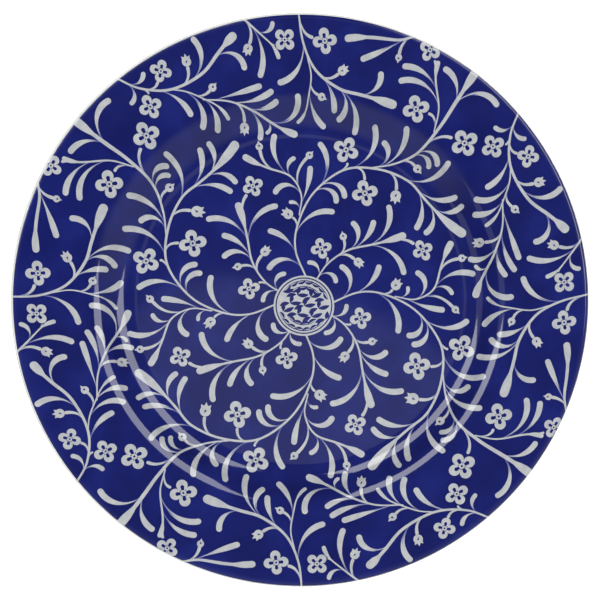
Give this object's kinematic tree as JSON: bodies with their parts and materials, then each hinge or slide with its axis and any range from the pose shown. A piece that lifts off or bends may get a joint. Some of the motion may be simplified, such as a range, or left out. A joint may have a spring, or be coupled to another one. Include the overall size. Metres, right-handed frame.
{
  "type": "hand painted ceramic plate",
  "caption": "Round glazed ceramic plate with a flat well, raised sloping rim and turned foot ring, cobalt blue with white brush painted scroll and a centre medallion.",
  "frame": {"origin": "middle of the foot ring's resting face, on the surface that the plate stands on", "axes": "+Z up along the plate's axis of revolution; +X to the right and +Y up in the usual view of the painting"},
  "size_m": [0.27, 0.27, 0.0257],
  "materials": {
    "clay": "bare fired white earthenware, matt and slightly gritty",
    "cobalt": "brushed cobalt blue under clear glaze",
    "white_slip": "brush painted greyish white under clear glaze",
    "clear_glaze": "clear glossy glaze",
    "white_glaze": "glossy clear glaze on the pale clay of the back"
  },
  "bodies": {
    "root": {"clay_body": "clay", "cobalt_ground": "cobalt", "medallion_slip": "white_slip", "face_glaze": "clear_glaze", "back_glaze": "white_glaze", "foot_well_glaze": "white_glaze"}
  },
  "joints": []
}
